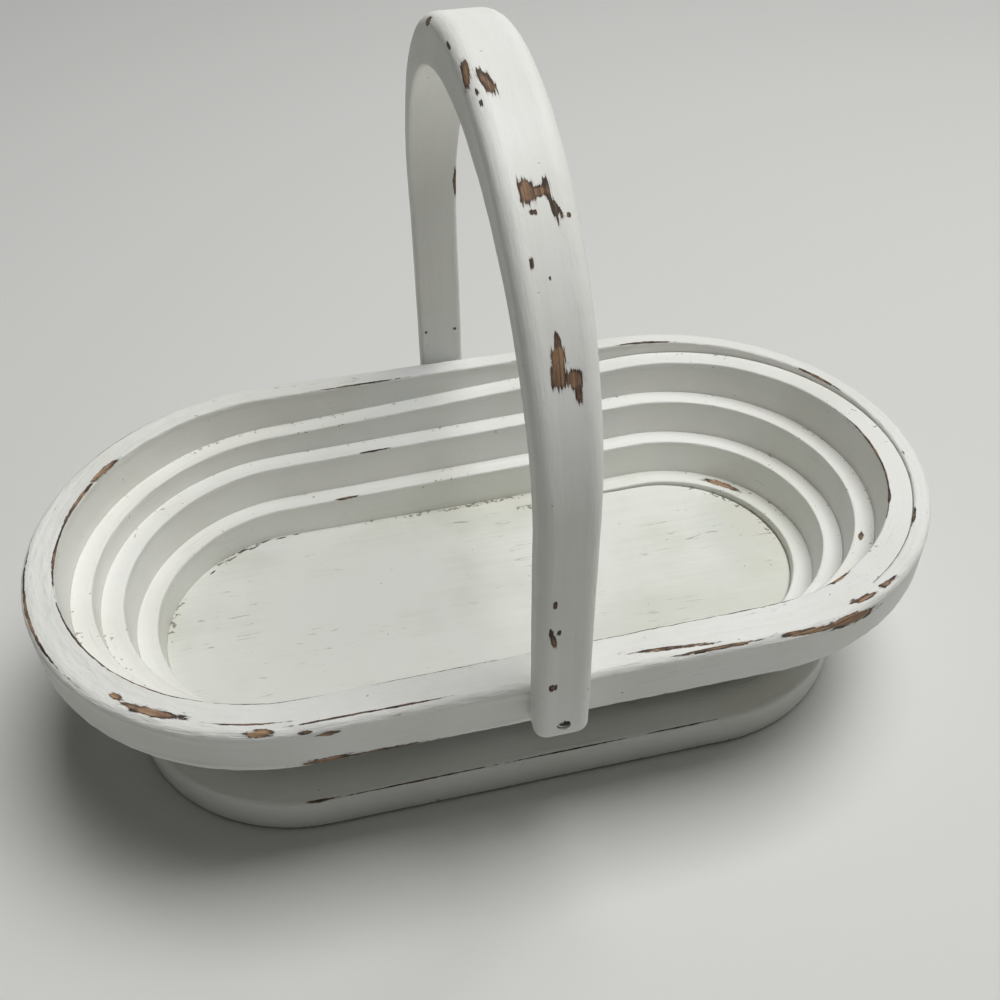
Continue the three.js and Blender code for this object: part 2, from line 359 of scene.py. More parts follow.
def running(points):  # length from the first point to each of the others
    steps = np.linalg.norm(np.diff(points, axis=0), axis=-1)
    return np.concatenate([np.zeros((1, *steps.shape[1:])), np.cumsum(steps, axis=0)])


# Mesh over a grid of points, rings by points around, with lengths along and around as its UV map
def gridMesh(name, points, along, around, girth, values, closedAlong=False, closedAround=True, caps=False):
    rings, count = points.shape[:2]
    seamLength = 1 * mm  # of the row of faces that closes the last ring to the first
    i, j = np.meshgrid(np.arange(rings if closedAlong else rings - 1),
                       np.arange(count if closedAround else count - 1), indexing="ij")
    nextI, nextJ = (i + 1) % rings, (j + 1) % count
    faces = np.stack([i * count + j, i * count + nextJ, nextI * count + nextJ, nextI * count + j], -1)
    alongNext = np.where(nextI == 0, along[-1] + seamLength, along[nextI])
    aroundHere = np.where(nextJ == 0, girth[i], around[i, nextJ])
    aroundNext = np.where(nextJ == 0, girth[nextI], around[nextI, nextJ])
    uv = np.stack([np.stack([along[i], around[i, j]], -1), np.stack([along[i], aroundHere], -1),
                   np.stack([alongNext, aroundNext], -1), np.stack([alongNext, around[nextI, j]], -1)], -2)
    polygons = faces.reshape(-1, 4).tolist()
    uv = uv.reshape(-1, 2)
    if caps:
        ends = (np.arange(count)[::-1], np.arange(count) + (rings - 1) * count)
        polygons += [end.tolist() for end in ends]
        uv = np.concatenate([uv, *(np.stack([along[end // count], around.ravel()[end]], -1) for end in ends)])
    mesh = bpy.data.meshes.new(name)
    mesh.from_pydata(points.reshape(-1, 3).tolist(), [], polygons)
    mesh.uv_layers.new(name="grain").data.foreach_set("uv", uv.ravel())
    for key, field in values.items():
        mesh.attributes.new(key, "FLOAT", "POINT").data.foreach_set("value", field.ravel())
    return mesh


# How deep each point lies in a placed chip: 1 in its middle, 0 at its outline, -1 far from any; and as bite,
# in mm. A chip is (place along, edge it is measured from, offset, length and width in mm, lean in degrees).
def chipField(along, around, edges, chips, square=2.0):
    chip = np.full(around.shape, -1.0)
    bite = np.zeros(around.shape)
    for place, edge, offset, length, width, leaning in chips:
        a = along[:, None] - place
        b = around - around[:, edges[edge], None] - offset * mm
        turn = math.radians(leaning)
        lengthwise = (a * math.cos(turn) + b * math.sin(turn)) / (length * mm / 2)
        widthwise = (b * math.cos(turn) - a * math.sin(turn)) / (width * mm / 2)
        inside = 1 - (np.abs(lengthwise) ** square + np.abs(widthwise) ** square) ** (1 / square)
        chip = np.maximum(chip, inside)
        bite = np.maximum(bite, inside * min(length, width) / 2)
    return {"chip": chip, "bite": bite}


def turnsOfCut(chips):  # from places in turns from the +X end
    return [((place - sawCut["start"]) % 1, *chip) for place, *chip in chips]


# Straight bar for the wind tree: an outline across it, at a row of places in turns of the cut.
# Lengths along it are measured at one depth; creamFrom is where its paint starts to turn into the floor's.
def windBar(name, turns, outline, measuredAt, fall, edges, chips, filled=0, sunk=0, uvFrom=(0, 0),
            creamFrom=None, **closing):
    across, up, follow, worn, grime = outline.T
    rows = np.ones((len(turns), 1))
    depth = rows * across - filled
    height = rows * up - sunk
    along = running(curvePoint(sawCut["start"] + turns, measuredAt))
    section = np.stack([depth + follow * pitch * turns[:, None], height], -1).swapaxes(0, 1)
    around = running(section).T
    girth = around[:, -1] + np.linalg.norm(section[-1] - section[0], axis=-1)
    placed = [(np.interp(place, turns, along), *chip) for place, *chip in chips]
    values = {"follow": rows * follow, "fall": np.full(depth.shape, float(fall)), "edge": rows * worn,
              "grime": rows * grime, **chipField(along, around, edges, placed)}
    if creamFrom is not None:
        cream = np.clip((turns - creamFrom) / (turns[-1] - creamFrom), 0, 1)
        values["cream"] = np.outer(cream, np.ones(len(up)))
    points = np.stack([np.broadcast_to(turns[:, None], depth.shape), depth, height], -1)
    mesh = gridMesh(name, points, along + uvFrom[0], around + uvFrom[1], girth + uvFrom[1], values, **closing)
    return mesh, along, around


def stripDrop(turns):
    ramp = np.clip(turns / sawCut["firstRamp"], 0, 1)
    later = np.clip(turns - 1, 0, sawCut["turns"] - 1)
    return sawCut["firstDrop"] * ramp * ramp * (3 - 2 * ramp) + turnDrop * later


# Width of the cut that paint has filled, all but a hairline near its two ends
def cutFill(turns):
    step = stripDrop(turns) - np.where(turns > 1, stripDrop(turns - 1), 0)
    fromEnds = np.minimum(turns, cutEnd - turns)
    opening = np.clip(fromEnds / sawCut["opensIn"], 0, 1)
    closing = np.clip((sawCut["showsFor"] - fromEnds) / sawCut["closesIn"], 0, 1)
    return sawCut["kerf"] - bevel * step - sawCut["hairline"] * opening * closing


# Paint

grainNoise = {  # detail per metre along the grain, across it and through it; octaves and their roughness
    "ragged": ((230, 620, 620), 4, 0.65), "fibres": ((70, 1300, 1300), 2, 0.6),
    "patches": ((34, 150, 150), 2, 0.5), "streaks": ((45, 1100, 1100), 4, 0.7),
    "brush": ((20, 480, 480), 4, 0.6), "crust": ((75, 330, 330), 3, 0.55),
}
blotNoise = {   # the same for what lies across the grain and along it alike
    "tone": (130, 3, 0.55), "clouds": (12, 4, 0.55), "cool": (7, 3, 0.55), "showing": (21, 2, 0.55),
    "specks": (480, 2, 0.5), "soil": (26, 2, 0.55), "pores": (700, 2, 0.55),
}
markRange = {   # value at which each mark starts to show, and at which it is full
    "bare": (-0.03, 0.04), "deep": (0.1, 0.9), "cool": (0.45, 0.65), "thin": (0.42, 0.66),
    "showing": (0.47, 0.64), "lines": (0.64, 0.7), "soil": (0.44, 0.58), "dirt": (0.8, 0.86),
    "soiled": (0.9, 1.0), "brim": (-0.3, 0.0),
}
floorPaint = {"paint": (229, 230, 223), "paintThin": (212, 213, 201), "paintCool": (213, 218, 216)}
paintLook = {
    "paint": (237, 237, 232), "paintThin": (229, 229, 222), "paintCool": (233, 235, 233), "brushed": 0.15,
    "lines": 0.2, "lineColour": (140, 136, 120), "lineNoise": ((48, 820, 820), 2, 0.6, 0.8),
    # The first colour below paints dirt specks, and also painted shade around chip outlines and along the
    # foot's contact line.
    "dirt": (96, 88, 76), "specks": 0.6, "soil": 0.15, "cloudy": 0.12, "soiled": 0.0, "brim": 0.38,
    "under": (126, 101, 80), "underDark": (62, 54, 47), "underLight": (184, 151, 119),  # where paint is gone
    "underStops": (0.36, 0.5, 0.66), "streaky": 0.75, "deepLight": 0.17, "underShift": -0.11,
    "rub": 0.15, "rubFrom": 1.13, "patchy": 4.2, "ragged": 1.9, "fibres": 0.8, "straightGrain": False,
    "rough": 0.48, "roughBrush": 0.16, "roughBare": 0.22, "specular": 0.35,
    "paintThick": 0.28 * mm, "brush": 0.06 * mm, "pores": 0.03 * mm,                    # heights of relief
    "crust": 0.9 * mm, "crustAway": 0.1, "streakDepth": 0.2 * mm, "lineDepth": 0.08 * mm,
}


def noiseAt(wire, vector, scale, octaves, roughness, waver=0.0):
    if isinstance(scale, tuple):
        vector = wire.node("ShaderNodeVectorMath", {"operation": "MULTIPLY"}, {0: vector, 1: scale})
        scale = 1
    return wire.node("ShaderNodeTexNoise", sockets={
        "Vector": vector, "Scale": scale, "Detail": octaves, "Roughness": roughness, "Distortion": waver})


def mixColour(wire, share, first, second):
    return wire.node("ShaderNodeMix", {"data_type": "RGBA"},
                     {"Factor_Float": share, "A_Color": first, "B_Color": second}, "Result_Color")


def newMaterial(name):
    material = bpy.data.materials.new(name)
    material.use_nodes = True
    material.node_tree.nodes.clear()
    return material, Wire(material.node_tree)


# Brushed paint, worn: chips and rubbed edges come from the mesh, their ragged outlines from noise
def wornPaint(name, look):
    material, wire = newMaterial(name)
    place = wire.node("ShaderNodeTexCoord", out="Object")
    grain = place if look["straightGrain"] else wire.node("ShaderNodeUVMap", {"uv_map": "grain"}, out="UV")
    edge, chip, grime, bite, cream = (wire.node("ShaderNodeAttribute", {"attribute_name": key}, out="Fac")
                                      for key in ("edge", "chip", "grime", "bite", "cream"))

    def onGrain(key):
        return noiseAt(wire, grain, *grainNoise[key])

    def blots(key):
        return noiseAt(wire, place, *blotNoise[key])

    ragged = onGrain("ragged") - 0.5
    fibres = onGrain("fibres") - 0.5
    patches = onGrain("patches") - 0.5
    rubbed = edge * (patches * look["patchy"] + look["rub"]) - look["rubFrom"]
    wear = chip.atLeast(rubbed) + ragged * look["ragged"] + fibres * look["fibres"]
    bare = wear.smooth(*markRange["bare"])

    streaks = onGrain("streaks")
    tone = blots("tone")
    # Bare wood darker near a chip's outline and lighter in its middle: partly dirt, partly painted shadow of
    # the raised paint edge.
    deep = (bite + (tone - 0.5) * 2).smooth(*markRange["deep"])
    shade = (streaks * look["streaky"] + tone * (1 - look["streaky"]) + deep * look["deepLight"]
             + look["underShift"])
    underColours = [srgb(*look[key]) for key in ("underDark", "under", "underLight")]
    under = wire.node("ShaderNodeValToRGB", {"stops": list(zip(look["underStops"], underColours))},
                      {"Fac": shade}, "Color")

    brush = onGrain("brush")
    clouds = blots("clouds")
    cool = blots("cool").smooth(*markRange["cool"])
    thin = (clouds * (1 - look["brushed"]) + brush * look["brushed"]).smooth(*markRange["thin"])
    thick, worn, cold = (mixColour(wire, cream, srgb(*look[key]), srgb(*floorPaint[key]))
                         for key in ("paint", "paintThin", "paintCool"))
    paint = mixColour(wire, thin, mixColour(wire, cool, thick, cold), worn)
    showing = blots("showing").smooth(*markRange["showing"])
    lines = noiseAt(wire, grain, *look["lineNoise"]).smooth(*markRange["lines"]) * showing * look["lines"]
    paint = mixColour(wire, lines, paint, srgb(*look["lineColour"]))

    soil = grime * blots("soil").smooth(*markRange["soil"])
    specks = blots("specks") + soil * look["soil"] + clouds * look["cloudy"]
    dirt = specks.smooth(*markRange["dirt"]) * look["specks"]
    # Dark line where grime and shade is full: along the foot's bottom edge, partly dirt and partly painted
    # contact shadow where the foot meets the floor.
    soiled = grime.smooth(*markRange["soiled"]) * look["soiled"]
    # Paint darkened just around each chip: partly dirt, partly painted shadow of the raised paint edge.
    brim = wear.smooth(*markRange["brim"]) * look["brim"]
    # Dirt specks, painted shade at chip outlines and the painted contact shadow along the foot's bottom edge
    # all take the dark colour.
    paint = mixColour(wire, dirt.atLeast(brim).atLeast(soiled), paint, srgb(*look["dirt"]))
    colour = mixColour(wire, bare, paint, under)

    rough = look["rough"] + brush * look["roughBrush"] + bare * look["roughBare"]
    crust = onGrain("crust") * (edge + look["crustAway"])
    relief = ((1 - bare) * look["paintThick"] + brush * look["brush"] + blots("pores") * look["pores"]
              + crust * look["crust"] + streaks * bare * look["streakDepth"] - lines * look["lineDepth"])
    bump = wire.node("ShaderNodeBump", sockets={"Strength": 1.0, "Distance": 1.0, "Height": relief})
    shader = wire.node("ShaderNodeBsdfPrincipled", sockets={
        "Base Color": colour, "Roughness": rough, "Normal": bump, "Specular IOR Level": look["specular"]})
    wire.node("ShaderNodeOutputMaterial", sockets={"Surface": shader})
    return material


woundTree = windTree()


def woundPiece(name, bar, look, paintName):
    return throughTree(name, bar, woundTree, woundSizes | {
        "Unevenness": look["unevenness"], "Nicks": look["nicks"],
        "Finish": wornPaint(paintName, paintLook | look["finish"])})


# Rim. Chip places are in turns from the middle of the +X end
rimLook = {
    "round": 3.5 * mm, "inner": 1.1 * mm, "hidden": 0.8 * mm,   # roundings
    "step": 1.1 * mm, "topStep": 0.2 * mm, "rings": 960, "measuredAt": 3 * mm,
    "unevenness": 0.35 * mm, "nicks": 0.7 * mm, "worn": 0.9, "wornLower": 0.8, "finish": {},
    "chips": [
        (0.520, "outer", 0.8, 70, 1.3, 0), (0.577, "outer", 5.0, 6, 2.6, 0),
        (0.592, "outer", 4.4, 26, 3.4, 3), (0.624, "outer", 4.2, 28, 0.9, 0),
        (0.628, "outer", 0.4, 10, 3.0, 0), (0.655, "outer", 2.2, 34, 0.8, 0),
        (0.684, "outer", 2.0, 28, 0.8, 0), (0.642, "outer", -1.2, 5, 1.8, 0),
        (0.651, "outer", -3.7, 8, 2.2, 0), (0.805, "outer", 4.4, 34, 1.6, -5),
        (0.826, "outer", 0.5, 34, 1.4, 0), (0.868, "outer", -0.8, 30, 2.2, -6),
        (0.884, "outer", -3.0, 26, 5.4, -8), (0.891, "outer", 3.0, 13, 2.4, -10),
        (0.903, "outer", 2.2, 13, 2.0, -6), (0.415, "outer", 0.8, 50, 0.8, 0),
        (0.205, "outer", 0.6, 60, 0.8, 0), (0.650, "lower", 2.4, 22, 3.4, 0),
        (0.668, "lower", 1.8, 24, 2.4, 0), (0.684, "lower", 1.4, 22, 1.4, 0),
        (0.440, "inner", -0.6, 19, 2.8, 0), (0.462, "inner", -0.2, 36, 1.4, 0),
        (0.495, "inner", 0.0, 40, 1.2, 0), (0.545, "inner", 0.0, 56, 1.2, 0),
        (0.585, "inner", 0.0, 56, 1.1, 0), (0.630, "inner", 0.0, 40, 1.0, 0),
        (0.700, "inner", 0.0, 50, 0.9, 0), (0.800, "inner", 0.0, 70, 1.1, 0),
        (0.852, "inner", 0.0, 40, 1.2, 0), (0.892, "inner", 0.0, 16, 2.6, 0),
        (0.190, "inner", 0.0, 34, 0.9, 0), (0.130, "inner", 0.0, 28, 1.0, 0),
        (0.045, "inner", 0.0, 24, 1.2, 0), (0.945, "inner", 0.0, 12, 1.6, 0),
        (0.300, "inner", 0.0, 40, 0.8, 0), (0.780, "lower", 0.5, 60, 0.9, 0),
        (0.850, "lower", 0.5, 60, 0.9, 0), (0.900, "lower", 0.5, 50, 0.9, 0),
        (0.150, "lower", 2.0, 22, 2.4, 0), (0.315, "outer", -3.2, 24, 2.8, -4),
        (0.355, "outer", -2.2, 12, 2.0, 0), (0.220, "outer", -4.4, 9, 2.4, 6),
        (0.135, "outer", -3.4, 26, 3.0, 5), (0.030, "outer", -3.0, 10, 2.0, 0),
    ],
}
rimInner = sawCut["rimStart"]
rimOutline, rimEdges = roundedOutline([
    (0, rimUnder, rimLook["round"], 0, rimLook["wornLower"], 0),
    (0, rimTop, rimLook["round"], 0, rimLook["worn"], 0),
    (rimInner, rimTop, rimLook["inner"], 1, rimLook["worn"], 0),
    (rimInner + lean, rimUnder, rimLook["hidden"], 1, 0, 0)],
    [rimLook["step"], rimLook["topStep"], rimLook["step"], 2 * rimLook["step"]])
rimBar, rimAlong, rimAround = windBar(
    "rimBar", np.linspace(0, 1, rimLook["rings"]), rimOutline, rimLook["measuredAt"], 0,
    dict(zip(("lower", "outer", "inner"), rimEdges)), turnsOfCut(rimLook["chips"]), closedAlong=True)
rim = woundPiece("sawn_rim", rimBar, rimLook, "rimPaint")

# Wall: the strip that winds down from the rim to the floor. Chip places are in turns of the cut
wallLook = {
    "nosing": 0.8 * mm, "corner": 0.5 * mm, "hidden": 0.6 * mm,     # roundings
    "step": 1.6 * mm, "topStep": 0.8 * mm, "perTurn": 460, "measuredAt": 50 * mm,
    "unevenness": 0.35 * mm, "nicks": 0.35 * mm, "worn": 0.7, "soiled": 0.5, "finish": {"rub": 0.0},
    "overlap": 0.003, "sunk": 0.12 * mm, "sinksIn": 0.0005,     # each end runs on just under rim or floor
    "creamFor": 0.3,                                            # turns along which its paint turns cream
    "chips": [
        (3.172, "nosing", -4.5, 19, 3.6, 0), (1.046, "nosing", -3.0, 4, 2.4, 0),
        (0.055, "nosing", 0, 8, 1.8, 0), (0.080, "nosing", 0, 50, 0.9, 0),
        (2.420, "nosing", 0, 12, 1.2, 0), (1.400, "nosing", 0, 16, 1.0, 0),
    ],
}
wallOutline, wallEdges = roundedOutline([
    (stripOuter + lean, rimUnder, wallLook["hidden"], 1, 0, 0),
    (stripOuter, rimTop, wallLook["corner"], 1, 0, 1),
    (stripInner, rimTop, wallLook["nosing"], 1, wallLook["worn"], wallLook["soiled"]),
    (stripInner + lean, rimUnder, wallLook["hidden"], 1, 0, 0)],
    [2 * wallLook["step"], wallLook["topStep"], wallLook["step"], 2 * wallLook["step"]])
wallTurns = np.linspace(-wallLook["overlap"], sawCut["turns"] + wallLook["overlap"],
                        round(sawCut["turns"] * wallLook["perTurn"]))
onOuterFace = np.arange(len(wallOutline)) <= wallEdges[1] + handwork["arcPoints"] // 2 + 1
pastEnds = np.maximum(-wallTurns, wallTurns - sawCut["turns"])
wallBar, *_ = windBar(
    "wallBar", wallTurns, wallOutline, wallLook["measuredAt"], 1,
    {"nosing": wallEdges[2]}, wallLook["chips"],
    filled=np.outer(cutFill(wallTurns), onOuterFace),
    sunk=wallLook["sunk"] * np.clip(pastEnds / wallLook["sinksIn"], 0, 1)[:, None],
    uvFrom=(rimAlong[-1], rimAround[-1, rimEdges[2]]),          # its grain runs on from the rim's
    creamFrom=sawCut["turns"] - wallLook["creamFor"], caps=True)
wall = woundPiece("spiral_wall", wallBar, wallLook, "wallPaint")

# Floor. Rings is a multiple of 50, so that points of both sides meet along the middle
floorLook = {
    "edge": 0.8 * mm, "hidden": 0.6 * mm,                       # roundings
    "step": 2.0 * mm, "edgeStep": 1.2 * mm, "rings": 600, "measuredAt": 60 * mm,
    "soiledFor": 7.0 * mm, "plainFrom": 62.0 * mm, "unevenness": 0.35 * mm, "nicks": 0.0,
    "finish": floorPaint | {
        "straightGrain": True, "rub": 0.0, "lines": 0.75, "lineColour": (150, 152, 138),
        "lineNoise": ((65, 480, 480), 2, 0.6, 0.8), "specks": 0.7, "soil": 0.21, "brush": 0.03 * mm},
    "chips": [
        (3.452, "edge", 0.9, 4, 0.9, 0), (3.463, "edge", 1.5, 5, 0.9, 0), (3.476, "edge", 1.0, 7, 1.1, 0),
        (3.485, "edge", 2.4, 4, 0.9, 0), (3.493, "edge", 1.2, 6, 1.3, 0), (3.503, "edge", 2.7, 4, 1.0, 0),
        (3.511, "edge", 1.2, 5, 1.0, 0), (3.522, "edge", 3.0, 3, 0.9, 0),
    ],
}
floorOutline, floorEdges = roundedOutline([
    (endRadius, rimUnder, 0, 0, 0, 0),
    (stripOuter + lean, rimUnder, floorLook["hidden"], 1, 0, 0),
    (stripOuter, rimTop, floorLook["edge"], 1, 0, 1),
    (floorLook["plainFrom"], rimTop, 0, 0, 0, 0),
    (endRadius, rimTop, 0, 0, 0, 0)],
    [2 * floorLook["step"], floorLook["step"], floorLook["edgeStep"],
     2 * floorLook["step"], floorLook["step"]],
    isOpen=True, fadeLength=floorLook["soiledFor"])
floorTurns = np.linspace(sawCut["turns"], cutEnd, floorLook["rings"] + 1)
onCut = floorOutline[:, 2] == 1
floorBar, *_ = windBar(
    "floorBar", floorTurns, floorOutline, floorLook["measuredAt"], 1,
    {"edge": floorEdges[2]}, floorLook["chips"],
    filled=np.outer(cutFill(floorTurns), onCut), closedAlong=True, closedAround=False)
floorBoard = woundPiece("floor_panel", floorBar, floorLook, "floorPaint")

# Foot. Rings is a multiple of 10, for the same reason. Chip places are in turns from the +X end
footLook = {
    "top": 2.5 * mm, "bottom": 1.2 * mm,                        # roundings
    "step": 1.6 * mm, "rings": 640, "unevenness": 0.35 * mm, "nicks": 0.4 * mm,
    # The finish darkens the foot's bottom edge: partly dirt, partly painted contact shadow.
    "worn": 0.7, "finish": {"rub": -0.1, "soiled": 0.75},
    "chips": [
        (0.640, "top", 0.0, 14, 1.2, 0), (0.690, "top", 0.0, 70, 0.35, 0),
        (0.770, "top", 0.0, 60, 0.35, 0), (0.830, "top", 0.0, 34, 0.35, 0),
    ],
}
footInset = endRadius - (footHigh.y - footLow.y) / 2
footOutline, footEdges = roundedOutline([
    (endRadius, footLow.z, 0, 0, 0, 0),
    (footInset, footLow.z, footLook["bottom"], 0, footLook["worn"], 1),
    (footInset, footHigh.z, footLook["top"], 0, footLook["worn"], 0),
    (endRadius, footHigh.z, 0, 0, 0, 0)], [footLook["step"]] * 4, isOpen=True)
footBar, *_ = windBar(
    "footBar", np.linspace(0, 1, footLook["rings"], endpoint=False), footOutline, footInset, 0,
    {"top": footEdges[2]}, turnsOfCut(footLook["chips"]), closedAlong=True, closedAround=False)
foot = woundPiece("foot_oval", footBar, footLook, "footPaint")

# Handle. Chip places are in mm along the bow from the end of the near leg
handleLook = {
    "thick": 11.0 * mm, "gripThick": 19.5 * mm, "legWidth": 21.0 * mm,
    "outer": 4.5 * mm, "inner": 1.6 * mm, "end": 4.0 * mm,      # roundings
    "step": 0.8 * mm, "endSteps": 9, "unevenness": 0.6 * mm, "nicks": 0.3 * mm, "squareChips": 3.0,
    "wornInner": 0.6, "wornOuter": 0.5,
    "finish": {"under": (108, 85, 67), "underDark": (58, 49, 42), "underLight": (164, 131, 101),
               "rub": -0.25, "lines": 0.06, "ragged": 1.1, "fibres": 1.4, "crust": 0.5 * mm},
    "chips": [
        (310, "outer", -11.5, 8, 3.0, 0), (274, "outer", -11.0, 5, 1.1, 0),
        (255, "outer", -9.6, 13, 2.6, 8), (249, "outer", -5.0, 12, 3.0, -8),
        (245, "outer", -8.2, 3, 0.9, 0), (240, "outer", -8.0, 3, 0.8, 0),
        (208.3, "outer", -2.5, 7.6, 3.9, 0), (208, "outer", 0.8, 3.2, 3.4, 0),
        (208.8, "outer", 2.7, 7.0, 1.9, 0), (203, "outer", 3.4, 9.5, 1.3, -6),
        (202, "outer", 4.6, 5.5, 1.1, -19), (200, "outer", 7.0, 1.6, 1.2, 0),
        (202, "outer", -2.0, 1.8, 2.0, 0), (188, "outer", -4.7, 3.8, 1.1, 0),
        (183, "outer", -0.6, 1.2, 0.7, 0), (165.5, "outer", -1.3, 5.4, 1.2, 0),
        (160.5, "outer", -1.5, 8.4, 3.4, 4), (156, "outer", -2.0, 7.4, 4.4, 0),
        (154.6, "outer", 2.2, 5.4, 4.8, 0), (151, "outer", 3.1, 7.4, 2.0, -4),
        (74, "outer", -5.1, 3.4, 1.6, 0), (60.5, "outer", -6.0, 4, 1.6, 0),
        (60, "outer", -3.2, 2.4, 1.4, 0), (56, "outer", -5.0, 7.5, 1.9, -14),
        (31, "outer", -4.8, 3.4, 2.8, 0), (352, "outer", 4.0, 9, 2.6, 6),
        (361, "outer", 1.5, 5, 1.6, -10), (418, "outer", -3.4, 12, 3.0, 4),
        (426, "outer", -1.0, 5, 1.8, 0), (520, "outer", 3.2, 5, 1.8, 0),
        (446, "innerEdge", 0.0, 15, 2.6, 0), (526, "innerEdge", 3.0, 1.6, 1.4, 0),
        (526, "inner", 7.5, 1.6, 1.4, 0),
    ],
}
halfLeg = handleLook["legWidth"] / 2
thick = handleLook["thick"]
endRound = handleLook["end"]
archRadius = handleHigh.y - thick
legLength = handleHigh.z - handleHigh.y - handleLow.z
bowLength = 2 * legLength + math.pi * (archRadius + thick / 2)
bowOutline, bowEdges = roundedOutline([
    (0, 0, 0, 0, 0, 0),
    (-halfLeg, 0, handleLook["inner"], 0, handleLook["wornInner"], 0),
    (-halfLeg, thick, handleLook["outer"], 0, handleLook["wornOuter"], 0),
    (0, thick, 0, 0, 0, 0),
    (halfLeg, thick, handleLook["outer"], 0, handleLook["wornOuter"], 0),
    (halfLeg, 0, handleLook["inner"], 0, handleLook["wornInner"], 0)], [handleLook["step"]] * 6)
endArc = endRound * (1 - np.cos(np.linspace(0, math.pi / 2, handleLook["endSteps"])))
middleStops = np.linspace(endArc[-1], bowLength - endArc[-1], round(bowLength / handleLook["step"]))
bowStops = np.concatenate([endArc[:-1], middleStops, bowLength - endArc[-2::-1]])
past = np.clip(endRound - np.minimum(bowStops, bowLength - bowStops), 0, endRound)
narrower = endRound - np.sqrt(endRound ** 2 - past ** 2)        # towards each leg's end
bowPoints = np.stack([np.outer(1 - narrower / halfLeg, bowOutline[:, 0]),
                      np.outer(1 - narrower / thick, bowOutline[:, 1]),
                      np.outer(bowStops, np.ones(len(bowOutline)))], -1)
bowRows = np.ones((len(bowStops), 1))
bowAround = bowRows * running(bowOutline[:, :2])
bowGirth = bowAround[:, -1] + np.linalg.norm(bowOutline[-1, :2] - bowOutline[0, :2])
bowChips = chipField(
    bowStops, bowAround, {"inner": bowEdges[0], "outer": bowEdges[3], "innerEdge": bowEdges[5]},
    [(place * mm, *chip) for place, *chip in handleLook["chips"]], handleLook["squareChips"])
bowBar = gridMesh("bowBar", bowPoints, bowStops, bowAround, bowGirth, {
    "edge": bowRows * bowOutline[:, 3], "grime": bowRows * bowOutline[:, 4], **bowChips}, caps=True)
handle = throughTree("handle_bow", bowBar, bendTree(), {
    "Arch radius": archRadius, "Thickness": thick, "Inner round": handleLook["inner"],
    "Outer round": handleLook["outer"], "Leg": legLength, "Leg end height": handleLow.z,
    "Swell": (handleHigh.x - handleLow.x) / handleLook["legWidth"] - 1,
    "Thicken": handleLook["gripThick"] - thick,
    "Unevenness": handleLook["unevenness"], "Nicks": handleLook["nicks"],
    "Finish": wornPaint("handlePaint", paintLook | handleLook["finish"])})

# Pins: one through each leg into the rim, painted over and rubbed on the head. Holes for them in the legs
pinLook = {
    "dome": 0.8 * mm, "around": 40, "domeSteps": 7, "step": 1.5 * mm,
    "gap": 0.12 * mm, "holePast": 5.0 * mm,                     # the holes, and how far their cutters reach
    "rubbedAt": 1.0 * mm, "rubbedWide": 2.4 * mm, "rubbedHigh": 1.3 * mm, "headWear": 0.3,
    "finish": {"under": (92, 86, 79), "underDark": (46, 43, 40), "underLight": (126, 120, 112), "rub": 0.0},
}
pinPaint = wornPaint("pinPaint", paintLook | pinLook["finish"])
pins, cutters = [], []
for nodeName, pinName, side in (("pivot_pin_near", "pin_near", -1), ("pivot_pin_far", "pin_far", 1)):
    pinLow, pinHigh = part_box(nodeName)
    radius = (pinHigh.z - pinLow.z) / 2
    headEnd = max(abs(pinLow.y), abs(pinHigh.y))
    seatEnd = min(abs(pinLow.y), abs(pinHigh.y))
    swing = np.linspace(0, math.pi / 2, pinLook["domeSteps"])[1:-1]
    shank = np.arange(seatEnd, headEnd - pinLook["dome"], pinLook["step"])
    reach = np.concatenate([shank, headEnd - pinLook["dome"] * (1 - np.sin(swing))])
    radii = radius * np.concatenate([np.ones(len(shank)), np.cos(swing)])
    compass = np.linspace(0, 2 * math.pi, pinLook["around"], endpoint=False)
    points = np.stack([np.outer(radii, np.cos(compass)), side * np.outer(reach, np.ones(len(compass))),
                       pivotHeight + np.outer(radii, np.sin(compass))], -1)
    onHead = np.outer(reach > headEnd - pinLook["dome"], np.ones(len(compass)))
    rubbed = 1 - np.hypot((points[..., 0] - pinLook["rubbedAt"]) / pinLook["rubbedWide"],
                          (points[..., 2] - pivotHeight) / pinLook["rubbedHigh"])
    pinMesh = gridMesh(nodeName, points, reach, radius * compass * np.ones((len(reach), 1)),
                       radius * 2 * math.pi * np.ones(len(reach)),
                       {"edge": onHead * pinLook["headWear"], "chip": np.where(onHead > 0, rubbed, -1.0)},
                       caps=True)
    pinMesh.materials.append(pinPaint)
    pins.append(applied(newObject(pinName, pinMesh)))
    holeRadius = radius + pinLook["gap"]
    ring = np.stack([holeRadius * np.cos(compass), 0 * compass, holeRadius * np.sin(compass)], -1)
    holeEnds = (archRadius - pinLook["holePast"], headEnd + pinLook["holePast"])
    holePoints = np.stack([ring + (0, side * end, pivotHeight) for end in holeEnds])
    holeMesh = gridMesh("hole", holePoints, np.array((0, thick)), np.zeros(holePoints.shape[:2]),
                        np.zeros(2), {}, caps=True)
    cutters.append(applied(newObject("hole", holeMesh)))
for cutter in cutters:
    boolean = handle.modifiers.new("hole", "BOOLEAN")
    boolean.operation = "DIFFERENCE"
    boolean.solver = "EXACT"
    boolean.object = cutter
handle = applied(handle)
for cutter in cutters:
    bpy.data.objects.remove(cutter)

for piece, body, slot, nodes in (
        (rim, "bowl", "painted_wall", ["rim"]),
        (wall, "bowl", "painted_wall", ["wall_turn_1", "wall_turn_2", "wall_turn_3", "wall_turn_4"]),
        (floorBoard, "bowl", "painted_floor", ["floor_board"]),
        (foot, "bowl", "painted_foot", ["foot_board"]),
        (handle, "handle", "painted_handle", ["handle"]),
        (pins[0], "bowl", "pin_steel", ["pivot_pin_near"]),
        (pins[1], "bowl", "pin_steel", ["pivot_pin_far"])):
    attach(piece, body)
    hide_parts(*nodes)
    print(f"{piece.name}: rides on {body}, stands for {', '.join(nodes)}")

